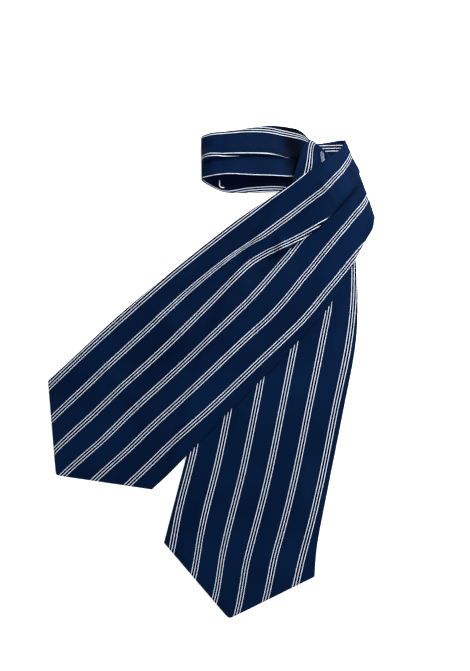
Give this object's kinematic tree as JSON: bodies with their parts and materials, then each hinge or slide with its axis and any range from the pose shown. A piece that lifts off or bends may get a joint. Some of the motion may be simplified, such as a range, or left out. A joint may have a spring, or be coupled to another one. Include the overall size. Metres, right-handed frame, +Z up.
{
  "type": "pinstriped day cravat, laid folded",
  "caption": "Wide-bladed navy day cravat with lengthwise pinstripes, laid flat with its pleated neckband looped back on itself.",
  "frame": {"origin": "centre of the laid cravat's outline, on the table", "axes": "+Y towards the neckband, away from the blades' points; +X to the right as seen from above; +Z up off the table"},
  "size_m": [0.3366, 0.5019, 0.0202],
  "materials": {
    "striped_silk": "navy woven silk with silver-white triple pinstripes along the cloth, fine twill, soft low sheen",
    "stitch_thread": "silver-white silk thread, softly shiny"
  },
  "bodies": {
    "root": {"front_blade": "striped_silk", "back_blade": "striped_silk", "neckband_under": "striped_silk", "neckband_over": "striped_silk"}
  },
  "joints": []
}
